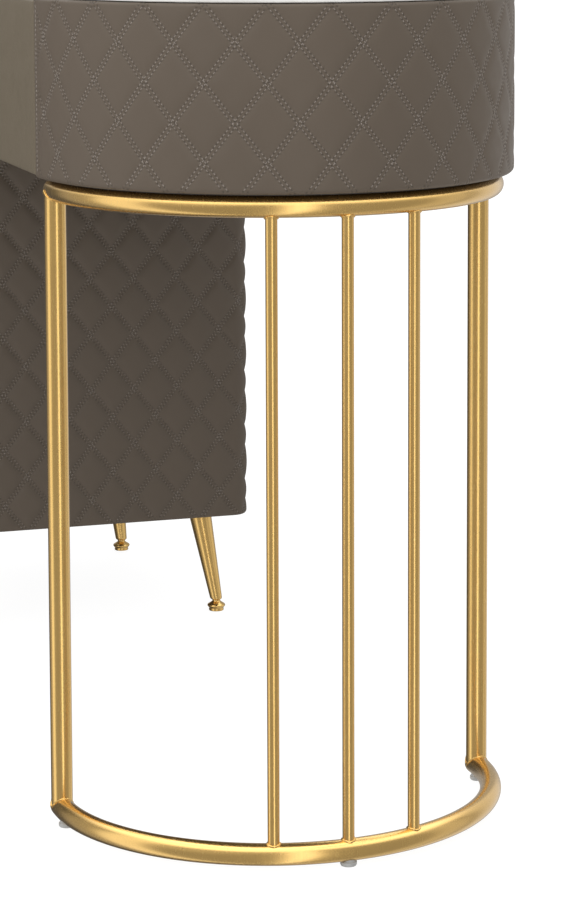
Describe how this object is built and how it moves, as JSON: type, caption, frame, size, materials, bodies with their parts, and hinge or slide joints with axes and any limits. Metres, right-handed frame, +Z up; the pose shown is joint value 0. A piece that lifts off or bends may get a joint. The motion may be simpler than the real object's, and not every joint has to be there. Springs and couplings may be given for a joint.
{
  "type": "vanity table with mirror",
  "caption": "Vanity table with a quilted leather half-round end on a brass tube frame, a drawer cabinet on splayed legs and a round tilting mirror.",
  "frame": {"origin": "on the floor under the middle of the desk's length and depth", "axes": "+Z up, -Y towards the person who sits at the table, +X towards the half-round end"},
  "size_m": [1.35, 0.45, 1.385],
  "materials": {
    "quilted_leather": "satin leather, diamond quilting with double rows of light stitches",
    "smooth_leather": "satin leather, fine grain",
    "satin_brass": "satin",
    "white_stone": "polished, white",
    "plywood": "dark stained veneer",
    "drawer_wood": "oiled ash",
    "runner_steel": "zinc plated",
    "glide_plastic": "matt grey",
    "mirror_glass": "silvered",
    "mirror_backing": "leather-faced sheet"
  },
  "bodies": {
    "table": {"quilted_band": "quilted_leather", "cabinet_quilted_cover": "quilted_leather", "upper_ring": "satin_brass", "lower_ring": "satin_brass", "front_post": "satin_brass", "back_post": "satin_brass", "frame_bar_1": "satin_brass", "frame_bar_2": "satin_brass", "frame_bar_3": "satin_brass", "cabinet_leg_front_left": "satin_brass", "cabinet_leg_front_left_tip": "satin_brass", "cabinet_leg_front_right": "satin_brass", "cabinet_leg_front_right_tip": "satin_brass", "cabinet_leg_back_left": "satin_brass", "cabinet_leg_back_left_tip": "satin_brass", "cabinet_leg_back_right": "satin_brass", "cabinet_leg_back_right_tip": "satin_brass", "mirror_base": "satin_brass", "top_slab": "white_stone", "desk_bottom_board": "plywood", "desk_top_board": "plywood", "round_end_core": "plywood", "desk_back_board": "plywood", "left_end_board": "plywood", "middle_divider": "plywood", "right_divider": "plywood", "cabinet_bottom_board": "plywood", "cabinet_top_board": "plywood", "cabinet_back_board": "plywood", "cabinet_left_side": "plywood", "cabinet_right_side": "plywood", "desk_drawer_left_runner_left": "runner_steel", "desk_drawer_left_runner_right": "runner_steel", "desk_drawer_right_runner_left": "runner_steel", "desk_drawer_right_runner_right": "runner_steel", "cabinet_drawer_lower_runner_left": "runner_steel", "cabinet_drawer_lower_runner_right": "runner_steel", "cabinet_drawer_upper_runner_left": "runner_steel", "cabinet_drawer_upper_runner_right": "runner_steel", "ring_glide_front": "glide_plastic", "ring_glide_middle": "glide_plastic", "ring_glide_back": "glide_plastic"},
    "desk_drawer_left": {"desk_drawer_left_front": "smooth_leather", "desk_drawer_left_box": "drawer_wood"},
    "desk_drawer_right": {"desk_drawer_right_front": "smooth_leather", "desk_drawer_right_box": "drawer_wood"},
    "cabinet_drawer_lower": {"cabinet_drawer_lower_front": "smooth_leather", "cabinet_drawer_lower_box": "drawer_wood", "cabinet_drawer_lower_knob": "satin_brass"},
    "cabinet_drawer_upper": {"cabinet_drawer_upper_front": "smooth_leather", "cabinet_drawer_upper_box": "drawer_wood", "cabinet_drawer_upper_knob": "satin_brass"},
    "mirror_fork": {"mirror_stand": "satin_brass"},
    "mirror_head": {"mirror_frame": "satin_brass", "mirror_glass": "mirror_glass", "mirror_back": "mirror_backing", "mirror_knob_left": "satin_brass", "mirror_knob_right": "satin_brass"}
  },
  "joints": [
    {"name": "desk_drawer_left_slide", "type": "slide", "parent": "table", "child": "desk_drawer_left", "axis": [0, -1, 0], "range_m": [0, 0.28]},
    {"name": "desk_drawer_right_slide", "type": "slide", "parent": "table", "child": "desk_drawer_right", "axis": [0, -1, 0], "range_m": [0, 0.28]},
    {"name": "cabinet_drawer_lower_slide", "type": "slide", "parent": "table", "child": "cabinet_drawer_lower", "axis": [0, -1, 0], "range_m": [0, 0.25]},
    {"name": "cabinet_drawer_upper_slide", "type": "slide", "parent": "table", "child": "cabinet_drawer_upper", "axis": [0, -1, 0], "range_m": [0, 0.25]},
    {"name": "mirror_swivel", "type": "hinge", "parent": "table", "child": "mirror_fork", "pos_m": [0.1, 0.125, 0.79], "axis": [0, 0, 1], "range_deg": [-60, 60]},
    {"name": "mirror_tilt", "type": "hinge", "parent": "mirror_fork", "child": "mirror_head", "pos_m": [0.1, 0.125, 1.13], "axis": [1, 0, 0], "range_deg": [-25, 40]}
  ]
}
